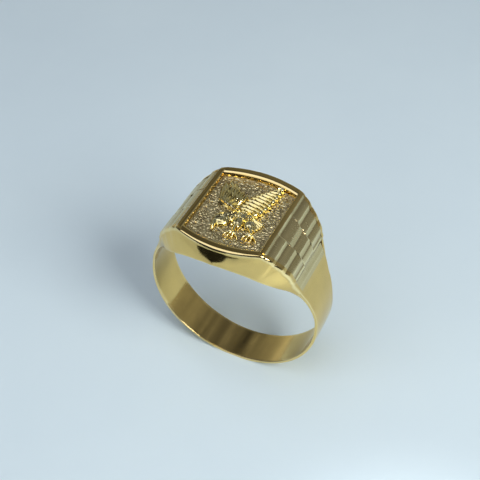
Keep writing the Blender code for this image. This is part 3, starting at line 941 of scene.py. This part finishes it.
def makeBirdBody():
    draw = np.random.default_rng(eagle["seed"])
    for i in range(eagle["tail"]["count"]):
        share = i / (eagle["tail"]["count"] - 1)
        tip = (mix(3.05, 2.6, share), mix(-0.9, -2.2, share))
        addFeather((1.5, -0.7), tip, eagle["tail"]["width"], 0.34, 0.2 + 0.02 * (i % 2), 0.0, 16, 9, 16)
    widths, heights = (0.9, 1.6, 1.75, 1.4, 0.6), (0.30, 0.38, 0.38, 0.34, 0.24)
    addLump((-0.75, -0.75), (2.0, -0.6), widths, heights, 56, 39, 0.15)
    for row in range(6):
        for i in range(5):
            root = np.array([mix(-0.6, 1.6, row / 5), mix(-1.3, 0.15, i / 4)]) + draw.uniform(-0.09, 0.09, 2)
            turn = draw.uniform(-0.9, 0.9)
            run = np.array([math.cos(turn), math.sin(turn)]) * 0.42
            addLump(root - run / 2, root + run / 2, (0.05, 0.16, 0.05), (0.38, 0.46, 0.36), 9, 7)
    nearLeg = ((0.5, -0.9), (0.35, -2.35), (0.5, -3.1))
    farLeg = ((1.5, -0.9), (1.95, -2.1), (2.45, -2.75))
    for hip, knee, ankle in (nearLeg, farLeg):
        addLump(hip, knee, (0.7, 1.4, 1.35, 0.7), (0.34, 0.46, 0.44, 0.16), 44, 35, 0.05)
        for i in range(3):
            side = np.array([mix(-0.36, 0.36, i / 2), 0.0])
            root = np.array(hip) + side + (0, -0.5)
            addFeather(root, np.array(knee) + side + (0, -0.1), 0.40, 0.47, 0.36, 0, 12, 9, 12)
        addLump(np.array(knee) + (0, 0.15), ankle, (0.5, 0.46, 0.4), (0.36, 0.40, 0.36), 12, 11)
        for spread in (-0.6, -0.2, 0.25, 0.7):
            toe = np.array(ankle) + (spread, -0.62 + 0.2 * abs(spread))
            addLump(ankle, toe, (0.28, 0.32, 0.28, 0.16), (0.32, 0.42, 0.36, 0.2), 14, 11)
            addLump(toe, toe + (spread * 0.25, -0.34), (0.2, 0.16, 0.02), (0.26, 0.2, 0.02), 8, 7)


def makeBirdHead():
    draw = np.random.default_rng(eagle["seed"] + 1)
    addLump((-0.2, -0.6), (-1.3, -1.6), (0.9, 1.5, 1.6, 1.2), (0.32, 0.40, 0.42, 0.38), 40, 31, 0.06)
    widths, heights = (0.6, 1.75, 1.95, 1.5, 0.4), (0.3, 0.45, 0.47, 0.42, 0.1)
    addLump((-0.75, -1.1), (-2.05, -2.75), widths, heights, 56, 45, 0.06)
    for i in range(18):
        turn, reach = draw.uniform(0, 2 * math.pi), draw.uniform(0.15, 0.75)
        root = np.array([-1.2, -1.75]) + np.array([math.cos(turn) * 0.85, math.sin(turn) * 1.0]) * reach
        run = np.array([math.cos(turn + 1.2), math.sin(turn + 1.2)]) * 0.34
        addLump(root - run / 2, root + run / 2, (0.05, 0.15, 0.05), (0.42, 0.485, 0.4), 8, 7)
    addLump((-1.85, -2.25), (-1.75, -3.15), (0.7, 0.78, 0.6, 0.34), (0.4, 0.46, 0.42, 0.3), 18, 13)
    addLump((-1.85, -2.85), (-1.6, -3.65), (0.6, 0.56, 0.34, 0.02), (0.42, 0.40, 0.28, 0.02), 16, 11)
    addLump((-1.50, -2.25), (-1.30, -2.95), (0.3, 0.34, 0.1), (0.34, 0.36, 0.16), 10, 9)
    addLump((-1.6, -1.62), (-1.0, -1.75), (0.08, 0.26, 0.08), (0.44, 0.49, 0.44), 10, 9)


def makeEagle():
    makeNearWing()
    makeFarWing()
    makeBirdBody()
    makeBirdHead()
    marks = {label: np.concatenate(values) for label, values in eagleMarks.items()}
    addPiece("eagle_relief", "eagle", paintedBrightGold, eagleBodies, 45, marks)


makeEagle()

# Floor, lights and camera. Lights are given by direction (0 is the front, 90 is +X) and by how
# bright they look.
floorValues = {"size": 0.7, "light": (0.74, 0.88, 0.96), "dark": (0.70, 0.84, 0.93), "roughness": 0.65}
surroundings = {
    "horizon": (0.35, 0.365, 0.335),
    "zenith": (0.12, 0.125, 0.13),
    "ramp": 1.2,
    "uneven": 1.5,
    "frontDark": 0.12,  # the room in front of the ring is darker
    "backdrop": (0.46, 0.53, 0.58),
}
studioLights = {
    "windowLight": {
        "azimuth": 69, "elevation": 42, "distance": 0.32,
        "size": (0.15, 0.15), "brightness": 10.0, "colour": (1.0, 0.985, 0.94),
    },
    "ceilingLight": {
        "azimuth": -32, "elevation": 60, "distance": 0.7,
        "size": (0.75, 0.88), "brightness": 1.25, "colour": (0.91, 0.93, 1.0),
    },
    "lowFill": {
        "azimuth": 38, "elevation": 16, "distance": 0.6,
        "size": (0.30, 0.12), "brightness": 0.2, "colour": (1.0, 0.98, 0.94),
    },
}
lightPools = {  # brighter places on the floor: a small one at the front right, a wide one in front
    "frontRightPool": {
        "place": (0.0305, -0.0245, 0.25), "watts": 1.0, "width": 10.0, "blend": 1.0, "radius": 0.004,
    },
    "frontPool": {"place": (0.0, -0.055, 0.4), "watts": 0.8, "width": 16.0, "blend": 1.0, "radius": 0.03},
}
# a black card that gives the polished front wall something dark to reflect
darkFlag = {"azimuth": -19, "distance": 0.06, "width": 0.034, "height": 0.034}
cameraView = {  # distance, across and above are in millimetres
    "azimuth": 25.84, "elevation": 44.84, "distance": 101.45,
    "lens": 70.55, "across": -0.15, "above": 7.25,
}


def towards(azimuth, elevation):
    a, e = math.radians(azimuth), math.radians(elevation)
    return Vector((math.sin(a) * math.cos(e), -math.cos(a) * math.cos(e), math.sin(e)))


def makeFloor():
    half = floorValues["size"] / 2
    mesh = bpy.data.meshes.new("studio_floor")
    corners = [(-half, -half, 0), (half, -half, 0), (half, half, 0), (-half, half, 0)]
    mesh.from_pydata(corners, [], [(0, 1, 2, 3)])
    material = bpy.data.materials.new("paleFloor")
    material.use_nodes = True
    tree = material.node_tree
    shader = tree.nodes["Principled BSDF"]
    place = addNode(tree, "ShaderNodeTexCoord").outputs["Object"]
    haze = addNode(
        tree, "ShaderNodeGroup", {"node_tree": handling}, {"Place": place, "Size": 18.0, "Amount": 1.0}
    ).outputs["Haze"]
    tint = addNode(
        tree, "ShaderNodeMix", {"data_type": "RGBA"},
        {0: haze, 6: (*floorValues["light"], 1), 7: (*floorValues["dark"], 1)},
    ).outputs[2]
    tree.links.new(tint, shader.inputs["Base Color"])
    shader.inputs["Roughness"].default_value = floorValues["roughness"]
    mesh.materials.append(material)
    floor = bpy.data.objects.new("studio_floor", mesh)
    bpy.context.scene.collection.objects.link(floor)


# the gold reflects an uneven room that stays put, and the camera sees a plain backdrop
def makeLights():
    world = bpy.data.worlds.new("studio")
    bpy.context.scene.world = world
    world.use_nodes = True
    tree = world.node_tree
    direction = addNode(tree, "ShaderNodeTexCoord").outputs["Generated"]
    split = addNode(tree, "ShaderNodeSeparateXYZ", {}, {0: direction}).outputs
    height = split["Z"]
    glow = addNode(
        tree, "ShaderNodeMix", {"data_type": "RGBA"},
        {
            0: mathNode(tree, "MULTIPLY", height, surroundings["ramp"], clamp=True),
            6: (*surroundings["horizon"], 1), 7: (*surroundings["zenith"], 1),
        },
    ).outputs[2]
    laid = addNode(tree, "ShaderNodeMapping", {}, {"Vector": direction, "Scale": (3.4, 3.4, 1.2)}).outputs[0]
    room = addNode(tree, "ShaderNodeTexNoise", {}, {"Vector": laid, "Scale": 1.6, "Detail": 2.0}).outputs[0]
    bands = mathNode(tree, "MULTIPLY", mathNode(tree, "SUBTRACT", room, 0.5), 2 * surroundings["uneven"])
    tree.links.new(glow, tree.nodes["Background"].inputs["Color"])
    back = mathNode(tree, "MULTIPLY_ADD", split["Y"], 1.6, clamp=True)
    dark = surroundings["frontDark"]
    front = mathNode(tree, "ADD", mathNode(tree, "MULTIPLY", back, 1 - dark), dark)
    uneven = mathNode(tree, "MAXIMUM", mathNode(tree, "ADD", bands, 1.0), 0.3)
    tree.links.new(mathNode(tree, "MULTIPLY", uneven, front), tree.nodes["Background"].inputs["Strength"])
    backdrop = addNode(tree, "ShaderNodeBackground", {}, {0: (*surroundings["backdrop"], 1)})
    seen = addNode(tree, "ShaderNodeLightPath").outputs["Is Camera Ray"]
    reflected = tree.nodes["Background"].outputs[0]
    both = addNode(tree, "ShaderNodeMixShader", {}, {0: seen, 1: reflected, 2: backdrop.outputs[0]})
    tree.links.new(both.outputs[0], tree.nodes["World Output"].inputs["Surface"])
    middle = Vector((0, 0, centreHeight * mm))
    for name, values in studioLights.items():
        lamp = bpy.data.lights.new(name, "AREA")
        lamp.shape = "RECTANGLE"
        lamp.size, lamp.size_y = values["size"]
        lamp.color = values["colour"]
        lamp.energy = values["brightness"] * math.pi * lamp.size * lamp.size_y
        light = bpy.data.objects.new(name, lamp)
        back = towards(values["azimuth"], values["elevation"])
        light.location = middle + back * values["distance"]
        light.rotation_euler = (-back).to_track_quat("-Z", "Y").to_euler()
        light.visible_camera = False
        bpy.context.scene.collection.objects.link(light)
    for name, values in lightPools.items():
        pool = bpy.data.lights.new(name, "SPOT")
        pool.energy = values["watts"]
        pool.spot_size = math.radians(values["width"])
        pool.spot_blend = values["blend"]
        pool.shadow_soft_size = values["radius"]
        light = bpy.data.objects.new(name, pool)
        light.location = values["place"]
        light.visible_camera = light.visible_glossy = False
        bpy.context.scene.collection.objects.link(light)


def makeDarkFlag():
    turns = np.radians(np.linspace(0, 360, 49)[:-1])
    width, height = darkFlag["width"] / 2, darkFlag["height"] / 2
    points = [(width * math.cos(t), 0, height * (1 + math.sin(t))) for t in turns]
    mesh = bpy.data.meshes.new("dark_flag")
    mesh.from_pydata(points, [], [tuple(range(len(points)))])
    material = bpy.data.materials.new("blackCard")
    material.use_nodes = True
    shader = material.node_tree.nodes["Principled BSDF"]
    shader.inputs["Base Color"].default_value = (0.012, 0.012, 0.014, 1)
    shader.inputs["Roughness"].default_value = 0.9
    mesh.materials.append(material)
    flag = bpy.data.objects.new("dark_flag", mesh)
    flag.location = towards(darkFlag["azimuth"], 0) * darkFlag["distance"]
    flag.rotation_euler.z = math.radians(darkFlag["azimuth"])
    flag.visible_camera = False
    bpy.context.scene.collection.objects.link(flag)


def makeCamera():
    values = bpy.data.cameras.new("camera")
    values.lens = cameraView["lens"]
    values.clip_start = 0.005
    camera = bpy.data.objects.new("camera", values)
    back = towards(cameraView["azimuth"], cameraView["elevation"])
    lookAt = Vector((cameraView["across"], 0, centreHeight + cameraView["above"])) * mm
    camera.location = lookAt + back * cameraView["distance"] * mm
    camera.rotation_euler = (-back).to_track_quat("-Z", "Y").to_euler()
    bpy.context.scene.collection.objects.link(camera)
    bpy.context.scene.camera = camera
    bpy.context.scene.view_settings.view_transform = "Standard"


makeFloor()
makeLights()
makeDarkFlag()
makeCamera()
print("stage set")
